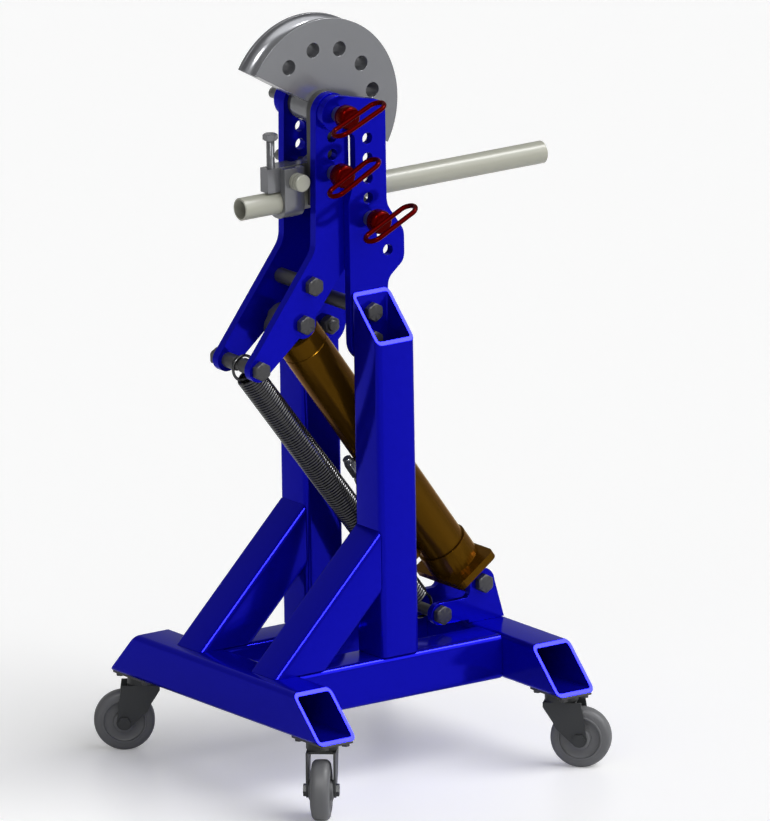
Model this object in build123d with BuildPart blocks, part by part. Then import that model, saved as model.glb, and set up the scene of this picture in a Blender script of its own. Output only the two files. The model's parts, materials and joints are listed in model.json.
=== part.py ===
from build123d import *
import os
from math import cos, radians, sin, sqrt

# Floor-standing hydraulic pipe bender on four casters.
# +Z is up, +X runs along the pipe, and Y = 0 is the mid-plane between the two sides.
# The near side is -Y, and the origin is on the floor under the middle of the posts.

os.makedirs("parts", exist_ok=True)

INCH = 25.4

# Welded frame of square tube
tube_side = 3 * INCH
tube_wall = 0.25 * INCH
tube_corner = 10.0
beam_length = 24 * INCH
beam_spacing = 19 * INCH
rail_offset = 4.25 * INCH
post_height = 24 * INCH
brace_rise = 217.5
caster_height = 5.125 * INCH

# Fixed plates and swing arms
plate_thickness = 15.6
side_gap = 0.4
pivot_x = -58.5
pivot_rise = 308.5
ear_radius = 30.5
arm_head_radius = 32.4
arm_neck_right = 7.4
arm_shoulder_right = 19.0
arm_knee = (-37.0, -231.0)
arm_knee_round = 45.0
arm_round = 25.0
arm_heel = (13.0, -3.0)
arm_hip_rise = 3.0
arm_shoulder_low = 24.0
arm_shoulder_high = 10.0
tail_radius = 20.0
tail_tangents = ((-0.8, 0.6), (0.7, -0.7))
ram_boss_radius = 24.0
lobe_reach = 72.0
lobe_start_drop = 169.0
lobe_top_drop = 218.0
lobe_bottom_drop = 268.0
lobe_end_drop = 296.0
lobe_rounds = (25.0, 24.0, 30.0, 40.0)
ear_lean = 13.3
shoulder_rise = 8.0
shoulder_round = 24.0
scallop_x = -24.0
scallop_top_drop = 46.0
scallop_bottom_drop = 109.0
scallop_rounds = (10.0, 30.0, 30.0)
plate_left_drop = 154.0
lower_bolt_drop = 84.0
upper_bolt_drop = 36.0

# Places on the arms, measured from the main pivot
arm_hole_pitch = 1.2 * INCH
drive_radius = 103.0
arm_spacer_offset = (-44.5, -289.0)
ram_pivot_offset = (-62.5, -352.0)
tail_offset = (-153.5, -415.8)

# Pull pins
pin_diameter = 0.75 * INCH
pin_gap = 0.08
collar_diameter = 26.0
collar_length = 19.0
pin_chamfer = 2.0
pin_head_length = 5.0
die_pin_overhang = 47.0
drive_pin_overhang = 49.0
follower_pin_overhang = 33.0
knob_diameter = 40.0
knob_length = 17.0
knob_bevel = 2.5
loop_length = 112.0
loop_width = 40.5
loop_rod = 7.5
loop_rod_sides = 8
loop_offset = 4.0
loop_bite = 5.0
die_loop_tilt = 23.0
drive_loop_tilt = 27.0
follower_loop_tilt = 25.5

# Bending die, pipe and follower roller
bend_radius = 6 * INCH
pipe_diameter = 1.5 * INCH
pipe_wall = 3.0
pipe_length = 24 * INCH
pipe_left_reach = 150.0
die_thickness = 52.0
die_tilt = -30.5
die_hub_radius = 28.0
die_hole_diameter = 1 * INCH
die_hole_pitch = 30.0
die_hole_count = 6
die_first_hole = 9.5
groove_gap = 0.35
groove_sides = 16
bush_diameter = 50.0
bush_gap = 0.2
link_thickness = 11.4
link_gap = 0.1
link_drop = 158.0
follower_offset_x = 60.5
follower_throat = 15.45
follower_radius = 33.0
follower_width = 54.0
follower_spacer_diameter = 30.0
face_gap = 0.3

# Spare follower holes, measured from the main pivot
spare_holes = [
    (59.5, -51.0),
    (59.5, -85.0),
    (59.5, -119.0),
    (59.5, -153.0),
    (85.5, -217.0),
    (97.5, -247.0),
]

# Pipe clamp
clamp_pin_offset = (-53.0, -115.0)
clamp_pin_diameter = 29.0
clamp_pin_front = 45.0
clamp_pin_back = 27.0
hook_half = 11.4
hook_eye_radius = 20.0
hook_left = -100.5
hook_top_drop = 91.0
hook_lift = 1.2
strap_left = -76.5
strap_right = -37.0
strap_half = 25.4
strap_floor = 8.0
strap_top_drop = 92.0
strap_round = 22.0
clamp_screw_x = -87.0
clamp_screw_diameter = 14.3
clamp_screw_head_flats = 22.2
clamp_screw_head_height = 10.5
clamp_screw_top_drop = 33.5

# Hex bolts
bolt_diameter = 0.75 * INCH
bolt_gap = 0.1
hex_flats = 1.125 * INCH
head_height = 12.0
nut_height = 16.0
thread_end = 5.0
spacer_diameter = 25.4
hook_room = 16.0

# Jack, its bracket and the return spring
foot_inset = 9.3
foot_rise = 64.6
anchor_inset = 94.3
anchor_rise = 24.3
cheek_thickness = 0.5 * INCH
cheek_inner = 1.5 * INCH
cheek_ear_radius = 25.0
anchor_lug_radius = 19.0
cheek_setback = 4.0
cheek_back = (1.0, 5.0)
cheek_waist = 2.0
cheek_round = 10.0
jack_diameter = 81.0
jack_bore = 50.0
jack_bore_floor = 12.0
jack_top_drop = 66.0
jack_chamfer = 5.0
collar_ring_diameter = 88.0
collar_ring_length = 41.0
flange_clear = 27.0
flange_thickness = 13.0
flange_width = 135.0
flange_depth = 87.0
flange_corner = 12.0
lug_half = 36.0
lug_radius = 24.0
ram_gap = 0.08
ram_engaged = 300.0
head_gap = 2.0
head_width = 70.0
head_shoulder = 12.0
eye_slot = (-15.9, -6.7)
eye_gap = 1.3
eye_wall = 13.0
pump_diameter = 24.0
pump_start = 100.0
pump_length = 200.0
pump_fitting_diameter = 17.0
pump_fitting_length = 34.0
spring_outer = 47.0
spring_wire = 5.0
wire_sides = 8
hook_seat = 0.1

# Casters
wheel_diameter = 4 * INCH
wheel_width = 32.0
wheel_hub_diameter = 36.0
wheel_hub_width = 41.0
wheel_dish = 4.0
wheel_rim = 15.0
tread_bevel = 4.5
axle_diameter = 0.5 * INCH
axle_gap = 0.06
axle_head = 5.0
axle_head_flats = 0.75 * INCH
caster_inset = 46.0
caster_trail = 33.0
caster_plate = (60.0, 92.0, 4.0)
caster_bolt_spacing = (42.0, 74.0)
caster_bolt_flats = 13.0
caster_bolt_head = 5.0
swivel_diameter = 54.0
swivel_height = 12.0
fork_sheet = 4.0
fork_crown = 54.0
fork_boss_radius = 13.0
fork_front_lap = 10.0
fork_heel = (-0.6, -0.8)
fork_back_low = (6.0, 0.3)
fork_back_high = (10.0, 0.45)
caster_headings = {
    "near_left": (-1, -1, 230.5),
    "near_right": (1, -1, 315.5),
    "far_left": (-1, 1, 145.0),
    "far_right": (1, 1, 55.0),
}

# Places worked out from the sizes above
beam_x = beam_spacing / 2
beam_mid = caster_height + tube_side / 2
beam_top = caster_height + tube_side
post_top = beam_top + post_height
post_inner = rail_offset - tube_side / 2
plate_inner = post_inner - plate_thickness
arm_outer = plate_inner - side_gap
arm_inner = arm_outer - plate_thickness
pivot_z = post_top + pivot_rise
pivot = (pivot_x, pivot_z)
pin_hole = pin_diameter / 2 + pin_gap
bolt_hole = bolt_diameter / 2 + bolt_gap
pipe_z = pivot_z - bend_radius
pipe_top = pipe_z + pipe_diameter / 2
groove_radius = pipe_diameter / 2 + groove_gap


def by_pivot(offset):
    """Side-view place, X and Z, of an offset from the main pivot."""
    return (pivot_x + offset[0], pivot_z + offset[1])


def side(y):
    """Side-view plane at that Y: sketches read X to the right and Z up, and extrude towards -Y."""
    return Plane.XZ.offset(-y)


def save(part, name):
    """Labels one finished piece and writes its file."""
    part.label = name
    export_step(part, f"parts/{name}.step")


drive_pin_at = by_pivot((0, -drive_radius))
arm_holes = [by_pivot((0, -drive_radius + i * arm_hole_pitch)) for i in range(3)]
arm_spacer_at = by_pivot(arm_spacer_offset)
ram_pivot = by_pivot(ram_pivot_offset)
tail = by_pivot(tail_offset)
follower_at = (pivot_x + follower_offset_x, pipe_z - pipe_diameter / 2 - face_gap - follower_throat)
lower_bolt = (0, post_top - lower_bolt_drop)
upper_bolt = (0, post_top - upper_bolt_drop)
clamp_pin_at = by_pivot(clamp_pin_offset)
jack_foot = (beam_x - foot_inset, beam_top + foot_rise)
spring_anchor = (beam_x - anchor_inset, beam_top + anchor_rise)


def link_line(low, high):
    """Unit direction from one side-view place up to another, and their distance."""
    line = Vector(high[0] - low[0], 0, high[1] - low[1])
    return line.normalized(), line.length


jack_up, jack_length = link_line(jack_foot, ram_pivot)
spring_up, spring_reach = link_line(spring_anchor, tail)


def along_side(place, up):
    """Side-view plane at a place whose local Y axis runs along the given direction."""
    return Plane(origin=(place[0], 0, place[1]), x_dir=(up.Z, 0, -up.X), z_dir=(0, -1, 0))


def across(place, up, distance):
    """Plane square to a link, at a distance along it from a place; its local X axis is +Y."""
    origin = Vector(place[0], 0, place[1]) + up * distance
    return Plane(origin=origin, x_dir=(0, 1, 0), z_dir=up)


# Welded frame

def tube_section():
    """Hollow rounded square of the frame tube."""
    inside = tube_side - 2 * tube_wall
    RectangleRounded(tube_side, tube_side, tube_corner)
    RectangleRounded(inside, inside, tube_corner - tube_wall, mode=Mode.SUBTRACT)


def cross_beam(x):
    """Beam along Y with both ends mitred so that its bottom is the longest wall."""
    with BuildPart() as beam:
        with BuildSketch(side(beam_length / 2)):
            with Locations((x, beam_mid)):
                tube_section()
        extrude(amount=beam_length)
        for end in (-1, 1):
            mitre = Plane(origin=(x, end * beam_length / 2, caster_height), z_dir=(0, end, 1))
            split(bisect_by=mitre, keep=Keep.BOTTOM)
    return beam.part


def rail(hand):
    """Rail along X that butts against both cross beams."""
    span = beam_spacing - tube_side
    with BuildPart() as bar:
        with BuildSketch(Plane.YZ.offset(-span / 2)):
            with Locations((hand * rail_offset, beam_mid)):
                tube_section()
        extrude(amount=span)
    return bar.part


def post(hand):
    """Upright on the rail, with its open top mitred outwards and bolt holes in its inner wall."""
    with BuildPart() as upright:
        with BuildSketch(Plane.XY.offset(beam_top)):
            with Locations((0, hand * rail_offset)):
                tube_section()
        extrude(amount=post_height)
        mitre = Plane(origin=(0, hand * post_inner, post_top), z_dir=(0, hand, 1))
        split(bisect_by=mitre, keep=Keep.BOTTOM)
        with BuildSketch(side(hand * (post_inner + tube_wall / 2))):
            with Locations(lower_bolt, upper_bolt):
                Circle(bolt_hole)
        extrude(amount=tube_wall, both=True, mode=Mode.SUBTRACT)
    return upright.part


def brace(hand):
    """Diagonal from the beam and rail up to the post, cut level at its foot and upright at its head."""
    foot_x = -tube_side / 2 - brace_rise
    slant = tube_side / cos(radians(45))
    middle = Vector(foot_x + slant / 2, hand * rail_offset, beam_top)
    with BuildPart() as strut:
        with BuildSketch(Plane(origin=middle, x_dir=(0, 1, 0), z_dir=(1, 0, 1))):
            tube_section()
        extrude(amount=2 * brace_rise, both=True)
        split(bisect_by=Plane.XY.offset(beam_top), keep=Keep.TOP)
        split(bisect_by=Plane.YZ.offset(-tube_side / 2), keep=Keep.BOTTOM)
    return strut.part


save(cross_beam(-beam_x), "left_cross_beam")
save(cross_beam(beam_x), "right_cross_beam")
for hand, side_name in ((-1, "near"), (1, "far")):
    save(rail(hand), f"{side_name}_rail")
    save(post(hand), f"{side_name}_post")
    save(brace(hand), f"{side_name}_brace")


# Fixed plates on the posts

def fixed_plate(y_far):
    """Plate with the pivot's ear at its top left, a lobe at the right and a foot round the lower bolt."""
    edge = tube_side / 2
    outline = [
        (-edge, lower_bolt[1]),
        (edge, lower_bolt[1]),
        (edge, pivot_z - lobe_end_drop),
        (lobe_reach, pivot_z - lobe_bottom_drop),
        (lobe_reach, pivot_z - lobe_top_drop),
        (edge, pivot_z - lobe_start_drop),
        (edge, pivot_z + shoulder_rise),
        by_pivot((ear_radius * sin(radians(ear_lean)), ear_radius * cos(radians(ear_lean)))),
        pivot,
        (scallop_x, pivot_z - scallop_top_drop),
        (scallop_x, pivot_z - scallop_bottom_drop),
        (-edge, pivot_z - plate_left_drop),
    ]
    rounds = [0, 0, *lobe_rounds, shoulder_round, 0, 0, *scallop_rounds]
    with BuildPart() as plate:
        with BuildSketch(side(y_far)):
            with BuildLine():
                FilletPolyline(*outline, radius=rounds, close=True)
            make_face()
            with Locations(lower_bolt):
                Circle(edge)
            with Locations(pivot):
                Circle(ear_radius)
            with Locations(pivot, follower_at, *[by_pivot(hole) for hole in spare_holes]):
                Circle(pin_hole, mode=Mode.SUBTRACT)
            with Locations(lower_bolt, upper_bolt):
                Circle(bolt_hole, mode=Mode.SUBTRACT)
        extrude(amount=plate_thickness)
    return plate.part


save(fixed_plate(-plate_inner), "near_fixed_plate")
save(fixed_plate(post_inner), "far_fixed_plate")


# Bolts along Y

def cross_bolt(place, head_y, nut_y):
    """Hex bolt along Y with its head on the near face head_y and its nut on the far face nut_y."""
    tip = nut_y + nut_height + thread_end
    with BuildPart() as bolt:
        with BuildSketch(side(tip)):
            with Locations(place):
                Circle(bolt_diameter / 2)
        extrude(amount=tip - head_y)
        with BuildSketch(side(head_y)):
            with Locations(place):
                RegularPolygon(hex_flats / 2, 6, major_radius=False)
        extrude(amount=head_height)
        with BuildSketch(side(nut_y + nut_height)):
            with Locations(place):
                RegularPolygon(hex_flats / 2, 6, major_radius=False)
        extrude(amount=nut_height)
    return bolt.part


def spacer_tube(place, half):
    """Round spacer over a bolt, between two plates."""
    with BuildPart() as tube:
        with BuildSketch(side(half)):
            with Locations(place):
                Circle(spacer_diameter / 2)
                Circle(bolt_hole, mode=Mode.SUBTRACT)
        extrude(amount=2 * half)
    return tube.part


post_wall_face = post_inner + tube_wall
save(spacer_tube(upper_bolt, plate_inner), "plate_spacer")
save(cross_bolt(upper_bolt, -post_wall_face, post_wall_face), "plate_through_bolt")

with BuildPart() as lower_bolts:
    add(cross_bolt(lower_bolt, -post_wall_face, -plate_inner))
    mirror(about=Plane.XZ)
save(lower_bolts.part, "plate_lower_bolts")

save(spacer_tube(arm_spacer_at, arm_inner), "arm_spacer")
save(cross_bolt(arm_spacer_at, -arm_outer, arm_outer), "arm_spacer_bolt")
save(cross_bolt(ram_pivot, -arm_outer, arm_outer), "ram_pivot_bolt")
save(cross_bolt(tail, -arm_outer, arm_outer), "tail_rod")

with BuildPart() as tail_spacers:
    with BuildSketch(side(arm_inner)):
        with Locations(tail):
            Circle(spacer_diameter / 2)
            Circle(bolt_hole, mode=Mode.SUBTRACT)
    extrude(amount=arm_inner - hook_room / 2)
    mirror(about=Plane.XZ)
save(tail_spacers.part, "tail_spacers")


# Swing arms and drive link

def swing_arm(y_far):
    """Dog-leg arm: straight below the pivot, then sloping back to the tail rod."""
    outline = [
        (-arm_head_radius, 0),
        arm_knee,
        *[(tail_offset[0] + x * tail_radius, tail_offset[1] + z * tail_radius) for x, z in tail_tangents],
        (ram_pivot_offset[0] + arm_heel[0], ram_pivot_offset[1] + arm_heel[1]),
        (arm_neck_right, arm_spacer_offset[1] + arm_hip_rise),
        (arm_neck_right, -drive_radius - arm_shoulder_low),
        (arm_shoulder_right, -drive_radius + arm_shoulder_high),
        (arm_head_radius, 0),
    ]
    rounds = [0, arm_knee_round, 0, 0, 0, arm_round, arm_round, arm_round, 0]
    with BuildPart() as arm:
        with BuildSketch(side(y_far)):
            with BuildLine():
                FilletPolyline(*[by_pivot(point) for point in outline], radius=rounds, close=True)
            make_face()
            with Locations(pivot):
                Circle(arm_head_radius)
            with Locations(ram_pivot):
                Circle(ram_boss_radius)
            with Locations(tail):
                Circle(tail_radius)
            with Locations(pivot, *arm_holes):
                Circle(pin_hole, mode=Mode.SUBTRACT)
            with Locations(arm_spacer_at, ram_pivot, tail):
                Circle(bolt_hole, mode=Mode.SUBTRACT)
        extrude(amount=plate_thickness)
    return arm.part


save(swing_arm(-arm_inner), "near_swing_arm")
save(swing_arm(arm_outer), "far_swing_arm")

link_width = arm_head_radius + arm_shoulder_right
with BuildPart() as drive_link:
    with BuildSketch(side(-arm_inner + link_gap + link_thickness)):
        with Locations(by_pivot(((arm_shoulder_right - arm_head_radius) / 2, 0))):
            Rectangle(link_width, link_drop, align=(Align.CENTER, Align.MAX))
        with Locations(pivot):
            Circle(arm_head_radius)
        with Locations(pivot, *arm_holes):
            Circle(pin_hole, mode=Mode.SUBTRACT)
    extrude(amount=link_thickness)
save(drive_link.part, "drive_link")


# Die with its index holes, and the bush beside it

def groove_ring(axle, radius):
    """Ring round an axle along Y, to cut the pipe's groove; its many-sided section clears the pipe."""
    with BuildPart() as ring:
        with BuildSketch(Plane.YZ.offset(axle[0])):
            with Locations((0, axle[1] + radius)):
                RegularPolygon(groove_radius, groove_sides, major_radius=False, rotation=180 / groove_sides)
        revolve(axis=Axis((axle[0], 0, axle[1]), (0, 1, 0)))
    return ring.part


def die_angle(index):
    """Angle of an index hole, counted up from the die's flat."""
    return radians(die_tilt + die_first_hole + index * die_hole_pitch)


with BuildPart() as bending_die:
    with BuildSketch(side(die_thickness / 2)):
        with Locations(pivot):
            Circle(bend_radius)
            Rectangle(
                3 * bend_radius,
                2 * bend_radius,
                rotation=die_tilt,
                align=(Align.CENTER, Align.MAX),
                mode=Mode.SUBTRACT,
            )
            Circle(die_hub_radius)
            Circle(pin_hole, mode=Mode.SUBTRACT)
        turns = [die_angle(index) for index in range(die_hole_count)]
        holes = [by_pivot((drive_radius * cos(turn), drive_radius * sin(turn))) for turn in turns]
        with Locations(*holes):
            Circle(die_hole_diameter / 2, mode=Mode.SUBTRACT)
    extrude(amount=die_thickness)
    add(groove_ring(pivot, bend_radius), mode=Mode.SUBTRACT)
save(bending_die.part, "bending_die")

with BuildPart() as die_bush:
    with BuildSketch(side(arm_inner - bush_gap)):
        with Locations(pivot):
            Circle(bush_diameter / 2)
            Circle(pin_hole, mode=Mode.SUBTRACT)
    extrude(amount=arm_inner - bush_gap - die_thickness / 2)
save(die_bush.part, "die_bush")

with BuildPart() as pipe:
    with BuildSketch(Plane.YZ.offset(pivot_x - pipe_left_reach)):
        with Locations((0, pipe_z)):
            Circle(pipe_diameter / 2)
            Circle(pipe_diameter / 2 - pipe_wall, mode=Mode.SUBTRACT)
    extrude(amount=pipe_length)
save(pipe.part, "workpiece_pipe")


# Follower roller under the pipe

with BuildPart() as follower_roller:
    with BuildSketch(side(follower_width / 2)):
        with Locations(follower_at):
            Circle(follower_radius)
            Circle(pin_hole, mode=Mode.SUBTRACT)
    extrude(amount=follower_width)
    add(groove_ring(follower_at, pipe_z - follower_at[1]), mode=Mode.SUBTRACT)
save(follower_roller.part, "follower_roller")

with BuildPart() as follower_spacers:
    with BuildSketch(side(plate_inner - face_gap)):
        with Locations(follower_at):
            Circle(follower_spacer_diameter / 2)
            Circle(pin_hole, mode=Mode.SUBTRACT)
    extrude(amount=plate_inner - face_gap - follower_width / 2)
    mirror(about=Plane.XZ)
save(follower_spacers.part, "follower_spacers")


# Pull pins with loop handles

def pin_shaft(place, face_y, far_end):
    """Steel pin whose collar stops against the near face face_y, with a flat head before the collar."""
    with BuildPart() as shaft:
        with BuildSketch(side(far_end)):
            with Locations(place):
                Circle(pin_diameter / 2)
        extrude(amount=far_end - face_y + collar_length / 2)
        chamfer(shaft.faces().sort_by(Axis.Y)[-1].edges(), pin_chamfer)
        with BuildSketch(side(face_y - pin_gap)):
            with Locations(place):
                Circle(collar_diameter / 2)
        extrude(amount=collar_length - pin_gap)
        with BuildSketch(side(face_y - collar_length)):
            with Locations(place):
                Circle(knob_diameter / 2)
        extrude(amount=pin_head_length)
    return shaft.part


def pin_handle(place, face_y, loop_tilt):
    """Knob on the pin's near end, with an oblong rod loop that slopes up to the right."""
    knob_far = face_y - collar_length - pin_head_length
    knob_near = knob_far - knob_length
    lean = Vector(cos(radians(loop_tilt)), 0, sin(radians(loop_tilt)))
    middle = Vector(place[0], knob_near + loop_bite - loop_width / 2, place[1]) + lean * loop_offset
    loop_plane = Plane(origin=middle, x_dir=lean, z_dir=(-lean.Z, 0, lean.X))
    bend = (loop_width - loop_rod) / 2
    run = loop_length / 2 - loop_width / 2
    with BuildPart() as handle:
        with BuildSketch(side(knob_far)):
            with Locations(place):
                Circle(knob_diameter / 2)
        extrude(amount=knob_length)
        chamfer(handle.faces().sort_by(Axis.Y)[0].edges(), knob_bevel)
        with BuildLine(loop_plane) as loop:
            Line((0, bend), (run, bend))
            ThreePointArc((run, bend), (run + bend, 0), (run, -bend))
            Line((run, -bend), (-run, -bend))
            ThreePointArc((-run, -bend), (-run - bend, 0), (-run, bend))
            Line((-run, bend), (0, bend))
        rod_start = loop_plane.from_local_coords((0, bend, 0))
        with BuildSketch(Plane(origin=rod_start, x_dir=(0, 1, 0), z_dir=lean)):
            RegularPolygon(loop_rod / 2, loop_rod_sides, major_radius=False, rotation=180 / loop_rod_sides)
        sweep(path=loop.wires()[0])
    return handle.part


for pin_name, place, face_y, overhang, loop_tilt in (
    ("die_pin", pivot, post_inner, die_pin_overhang, die_loop_tilt),
    ("drive_pin", drive_pin_at, arm_outer, drive_pin_overhang, drive_loop_tilt),
    ("follower_pin", follower_at, post_inner, follower_pin_overhang, follower_loop_tilt),
):
    save(pin_shaft(place, -face_y, face_y + overhang), pin_name)
    save(pin_handle(place, -face_y, loop_tilt), f"{pin_name}_handle")


# Pipe clamp hung on the drive pin

screw_x = pivot_x + clamp_screw_x
hook_top = pivot_z - hook_top_drop
hook_bottom = pipe_top + hook_lift
with BuildPart() as clamp_hook:
    with BuildSketch(side(hook_half)):
        with BuildLine():
            Polyline(
                (drive_pin_at[0], hook_top),
                (pivot_x + hook_left, hook_top),
                (pivot_x + hook_left, hook_bottom),
                (pivot_x + strap_right, hook_bottom),
                (drive_pin_at[0], drive_pin_at[1] - hook_eye_radius),
                close=True,
            )
        make_face()
        with Locations(drive_pin_at):
            Circle(hook_eye_radius)
            Circle(pin_hole, mode=Mode.SUBTRACT)
        with Locations(clamp_pin_at):
            Circle(clamp_pin_diameter / 2 + bolt_gap, mode=Mode.SUBTRACT)
    extrude(amount=2 * hook_half)
    with BuildSketch(Plane.XY.offset(hook_top)):
        with Locations((screw_x, 0)):
            Circle(clamp_screw_diameter / 2 + pin_gap)
    extrude(amount=-(hook_top - pipe_top), mode=Mode.SUBTRACT)
save(clamp_hook.part, "clamp_hook")

strap_top = pivot_z - strap_top_drop
strap_bottom = pipe_z - pipe_diameter / 2 - strap_floor
with BuildPart() as clamp_strap:
    with BuildSketch(Plane.YZ.offset(pivot_x + strap_left)):
        with Locations((0, strap_bottom)):
            Rectangle(2 * strap_half, strap_top - strap_bottom, align=(Align.CENTER, Align.MIN))
    extrude(amount=strap_right - strap_left)
    fillet(clamp_strap.edges().filter_by(Axis.X).group_by(Axis.Z)[0], strap_round)
    with BuildSketch(Plane.YZ.offset(pivot_x + strap_left)):
        with Locations((0, pipe_z)):
            Circle(pipe_diameter / 2 + groove_gap)
            Rectangle(2 * (hook_half + face_gap), strap_top - pipe_z, align=(Align.CENTER, Align.MIN))
    extrude(amount=strap_right - strap_left, mode=Mode.SUBTRACT)
    with BuildSketch(side(strap_half)):
        with Locations(clamp_pin_at):
            Circle(clamp_pin_diameter / 2 + bolt_gap)
    extrude(amount=2 * strap_half, mode=Mode.SUBTRACT)
save(clamp_strap.part, "clamp_strap")

with BuildPart() as clamp_pin:
    with BuildSketch(side(clamp_pin_back)):
        with Locations(clamp_pin_at):
            Circle(clamp_pin_diameter / 2)
    extrude(amount=clamp_pin_back + clamp_pin_front)
save(clamp_pin.part, "clamp_pin")

screw_top = pivot_z - clamp_screw_top_drop
with BuildPart() as clamp_screw:
    with BuildSketch(Plane.XY.offset(pipe_top + face_gap)):
        with Locations((screw_x, 0)):
            Circle(clamp_screw_diameter / 2)
    extrude(amount=screw_top - clamp_screw_head_height - pipe_top - face_gap)
    with BuildSketch(Plane.XY.offset(screw_top - clamp_screw_head_height)):
        with Locations((screw_x, 0)):
            RegularPolygon(clamp_screw_head_flats / 2, 6, major_radius=False)
    extrude(amount=clamp_screw_head_height)
save(clamp_screw.part, "clamp_screw")


# Bracket on the right beam for the jack's foot and the spring's anchor

def bracket_cheek(y_far):
    """Cheek with an ear for the jack's pivot and a lug to the left for the spring's anchor bolt."""
    foot_x, foot_z = jack_foot
    lug_x, lug_z = spring_anchor
    beam_left = beam_x - tube_side / 2
    beam_right = beam_x + tube_side / 2 - cheek_setback
    outline = [
        (beam_right, beam_top),
        (foot_x + cheek_ear_radius - cheek_back[0], foot_z + cheek_back[1]),
        jack_foot,
        (foot_x - cheek_ear_radius, foot_z),
        (foot_x - cheek_ear_radius - cheek_waist, lug_z + anchor_lug_radius),
        (lug_x, lug_z + anchor_lug_radius),
        (lug_x, lug_z - anchor_lug_radius),
        (beam_left, lug_z - anchor_lug_radius),
        (beam_left, beam_top),
    ]
    with BuildPart() as cheek:
        with BuildSketch(side(y_far)):
            with BuildLine():
                FilletPolyline(*outline, radius=[0, 0, 0, 0, cheek_round, 0, 0, 0, 0], close=True)
            make_face()
            with Locations(jack_foot):
                Circle(cheek_ear_radius)
            with Locations(spring_anchor):
                Circle(anchor_lug_radius)
            with Locations(jack_foot, spring_anchor):
                Circle(bolt_hole, mode=Mode.SUBTRACT)
        extrude(amount=cheek_thickness)
    return cheek.part


cheek_outer = cheek_inner + cheek_thickness
save(bracket_cheek(-cheek_inner), "near_jack_cheek")
save(bracket_cheek(cheek_outer), "far_jack_cheek")
save(cross_bolt(jack_foot, -cheek_outer, cheek_outer), "jack_pivot_bolt")
save(cross_bolt(spring_anchor, -cheek_outer, cheek_outer), "spring_anchor_bolt")


# Hydraulic jack between the bracket and the arms

base_top = flange_clear + flange_thickness + collar_ring_length
cylinder_top = jack_length - jack_top_drop

with BuildPart() as jack_base:
    with BuildSketch(along_side(jack_foot, jack_up)):
        Circle(lug_radius)
        Rectangle(2 * lug_radius, flange_clear + flange_thickness / 2, align=(Align.CENTER, Align.MIN))
        Circle(bolt_diameter / 2 + pin_gap, mode=Mode.SUBTRACT)
    extrude(amount=lug_half, both=True)
    with BuildSketch(across(jack_foot, jack_up, flange_clear)):
        RectangleRounded(flange_width, flange_depth, flange_corner)
    extrude(amount=flange_thickness)
    with BuildSketch(across(jack_foot, jack_up, flange_clear)):
        Circle(collar_ring_diameter / 2)
    extrude(amount=flange_thickness + collar_ring_length)
save(jack_base.part, "jack_base")

with BuildPart() as jack_cylinder:
    with BuildSketch(across(jack_foot, jack_up, base_top)):
        Circle(jack_diameter / 2)
    extrude(amount=cylinder_top - base_top)
    with BuildSketch(across(jack_foot, jack_up, base_top + jack_bore_floor)):
        Circle(jack_bore / 2 + ram_gap)
    extrude(amount=cylinder_top - base_top - jack_bore_floor, mode=Mode.SUBTRACT)
    top_face = jack_cylinder.faces().filter_by(GeomType.PLANE).sort_by(Axis.Z)[-1]
    chamfer(top_face.outer_wire().edges(), jack_chamfer)
save(jack_cylinder.part, "jack_cylinder")

with BuildPart() as jack_ram:
    with BuildSketch(across(jack_foot, jack_up, cylinder_top - ram_engaged)):
        Circle(jack_bore / 2)
    extrude(amount=ram_engaged + head_gap)
save(jack_ram.part, "jack_ram")

eye_radius = bolt_diameter / 2 + eye_gap
head_foot = jack_top_drop - head_gap
with BuildPart() as ram_head:
    with BuildSketch(along_side(ram_pivot, jack_up)):
        with Locations((0, 0), eye_slot):
            Circle(eye_radius + eye_wall)
        make_hull()
        with BuildLine():
            Polyline(
                (-head_width / 2, -head_foot),
                (head_width / 2, -head_foot),
                (head_width / 2, -head_foot + head_shoulder),
                (eye_radius + eye_wall, 0),
                (eye_slot[0] - eye_radius - eye_wall, eye_slot[1]),
                (-head_width / 2, -head_foot + head_shoulder),
                close=True,
            )
        make_face()
        with BuildSketch(mode=Mode.PRIVATE) as eye:
            with Locations((0, 0), eye_slot):
                Circle(eye_radius)
            make_hull()
        add(eye.sketch, mode=Mode.SUBTRACT)
    extrude(amount=lug_half, both=True)
save(ram_head.part, "ram_head")

pump_offset = jack_diameter / 2 + face_gap + pump_diameter / 2
with BuildPart() as pump_barrel:
    with BuildSketch(across(jack_foot, jack_up, pump_start)):
        with Locations((0, pump_offset)):
            Circle(pump_diameter / 2)
    extrude(amount=pump_length)
    with BuildSketch(across(jack_foot, jack_up, pump_start + pump_length)):
        with Locations((0, pump_offset)):
            RegularPolygon(pump_fitting_diameter / 2, 6, major_radius=False)
    extrude(amount=pump_fitting_length)
save(pump_barrel.part, "pump_barrel")


# Return spring from the anchor bolt to the tail rod

coil_radius = (spring_outer - spring_wire) / 2
hook_shift = coil_radius - spring_wire / 2 - bolt_diameter / 2 - face_gap
hook_top_radius = coil_radius + spring_wire / 2
coil_bore_radius = coil_radius - spring_wire / 2
coil_start = hook_shift + sqrt(hook_top_radius**2 - coil_bore_radius**2) + hook_seat
coil_length = spring_reach - 2 * coil_start


def spring_hook(distance):
    """Full loop of wire round a rod along Y, centred at a distance up the spring from its anchor."""
    centre = Vector(spring_anchor[0], 0, spring_anchor[1]) + spring_up * distance
    with BuildPart() as hook:
        with BuildSketch(Plane.YZ.offset(centre.X)):
            with Locations((0, centre.Z + coil_radius)):
                RegularPolygon(spring_wire / 2, wire_sides, rotation=180 / wire_sides)
        revolve(axis=Axis(centre, (0, 1, 0)))
    return hook.part


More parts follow.
